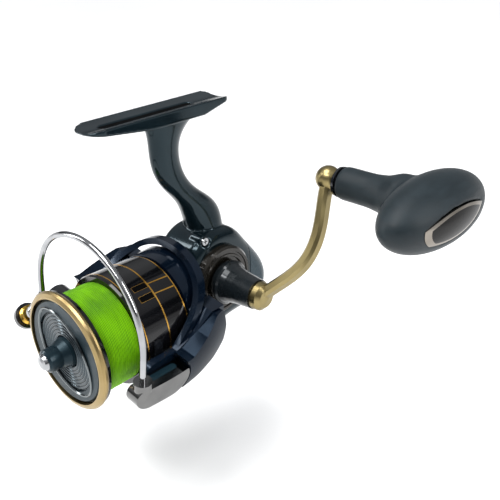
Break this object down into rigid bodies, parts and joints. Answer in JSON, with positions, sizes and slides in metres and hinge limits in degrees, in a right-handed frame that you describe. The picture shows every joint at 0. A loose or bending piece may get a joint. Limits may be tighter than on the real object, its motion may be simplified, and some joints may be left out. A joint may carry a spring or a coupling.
{
  "type": "spinning fishing reel",
  "caption": "Spinning reel with a line-filled spool, rotor with folding bail and line roller, front drag knob, and a bent crank with a broad grip.",
  "frame": {"origin": "middle of the foot's saddle, on the line where the rod lies", "axes": "+Z from the reel up to the rod, -Y the way the line leaves the spool, +X the side the handle stands out on"},
  "size_m": [0.1543, 0.1475, 0.1114],
  "materials": {
    "body_paint": "gloss",
    "cover_paint": "gloss",
    "rotor_paint": "gloss",
    "lever_metal": "satin",
    "lever_inlay": "satin",
    "wire_chrome": "polished",
    "roller_gold": "polished",
    "bearing_steel": "satin",
    "steel": "satin",
    "brass": "satin",
    "gear_alloy": "satin",
    "black_plastic": "gloss",
    "spool_black": "gloss",
    "lip_gold": "polished",
    "line_green": "woven",
    "drag_felt": "matt",
    "knob_slate": "satin",
    "knob_edge": "polished",
    "collar_grey": "satin",
    "arm_gold": "satin",
    "grip_rubber": "matt",
    "grip_inlay": "polished"
  },
  "bodies": {
    "reel_body": {"body_housing": "body_paint", "side_cover": "cover_paint", "rear_cover": "body_paint", "left_cap": "cover_paint", "body_screws": "wire_chrome", "drive_bearing_right": "bearing_steel", "drive_bearing_left": "bearing_steel", "pinion_bearing": "bearing_steel", "clutch_ring": "steel", "clutch_rollers": "steel", "clutch_cover": "black_plastic", "guide_rod": "steel", "oscillation_clip": "steel"},
    "rotor_body": {"rotor": "rotor_paint", "near_arm_cover": "rotor_paint", "far_arm_cover": "rotor_paint", "rotor_nut": "steel", "pinion_gear": "brass", "clutch_sleeve": "steel", "pivot_screws": "wire_chrome"},
    "bail": {"bail_lever": "lever_metal", "lever_plate": "lever_inlay", "bail_wire": "wire_chrome", "roller_arm": "lever_metal", "roller_screw": "wire_chrome", "roller_bearing": "bearing_steel"},
    "roller": {"line_roller": "roller_gold"},
    "crank": {"drive_gear": "gear_alloy", "gear_shaft": "steel", "transfer_gear": "gear_alloy", "handle_collar": "collar_grey", "handle_arm": "arm_gold", "knob_post": "steel", "post_collar": "black_plastic", "post_nut": "steel"},
    "oscillator": {"oscillation_gear": "gear_alloy"},
    "grip_body": {"grip": "grip_rubber", "grip_bearings": "bearing_steel", "grip_plate": "grip_inlay"},
    "shaft": {"main_shaft": "steel", "slider": "gear_alloy", "slider_screw": "steel", "spool_seat": "black_plastic"},
    "spool_body": {"spool": "spool_black", "lip_ring": "lip_gold", "line": "line_green", "line_clip": "black_plastic", "drag_washers": "drag_felt", "drag_discs": "steel", "drag_retainer": "steel", "click_ring": "black_plastic"},
    "knob": {"drag_knob": "knob_slate", "drag_bar": "knob_edge", "drag_post": "knob_slate", "knob_tip": "wire_chrome"}
  },
  "joints": [
    {"name": "handle_turn", "type": "hinge", "parent": "reel_body", "child": "crank", "pos_m": [0, 0.0212, -0.07707], "axis": [1, 0, 0], "continuous": true},
    {"name": "rotor_spin", "type": "hinge", "parent": "reel_body", "child": "rotor_body", "pos_m": [0, -0.0518, -0.0846], "axis": [0, 1, 0], "continuous": true},
    {"name": "oscillator_spin", "type": "hinge", "parent": "reel_body", "child": "oscillator", "pos_m": [-0.007, 0.0254, -0.0891], "axis": [1, 0, 0], "continuous": true},
    {"name": "grip_spin", "type": "hinge", "parent": "crank", "child": "grip_body", "pos_m": [0.06, 0.05198, -0.03017], "axis": [1, 0, 0], "continuous": true},
    {"name": "bail_open", "type": "hinge", "parent": "rotor_body", "child": "bail", "pos_m": [-0.00059, -0.0318, -0.08856], "axis": [0.989, 0, -0.1478], "range_deg": [0, 94]},
    {"name": "line_roller_spin", "type": "hinge", "parent": "bail", "child": "roller", "pos_m": [-0.03667, -0.0458, -0.08508], "axis": [-0.8039, 0, -0.5948], "continuous": true},
    {"name": "spool_slide", "type": "slide", "parent": "reel_body", "child": "shaft", "axis": [0, -1, 0], "range_m": [0, 0.014]},
    {"name": "spool_spin", "type": "hinge", "parent": "shaft", "child": "spool_body", "pos_m": [0, -0.0518, -0.0846], "axis": [0, 1, 0], "continuous": true},
    {"name": "drag_knob_turn", "type": "hinge", "parent": "shaft", "child": "knob", "pos_m": [0, -0.0518, -0.0846], "axis": [0, 1, 0], "range_deg": [-360, 360]}
  ],
  "couplings": [
    {"joint": "rotor_spin", "follows": "handle_turn", "ratio": 5.25},
    {"joint": "oscillator_spin", "follows": "handle_turn", "ratio": -0.5}
  ]
}
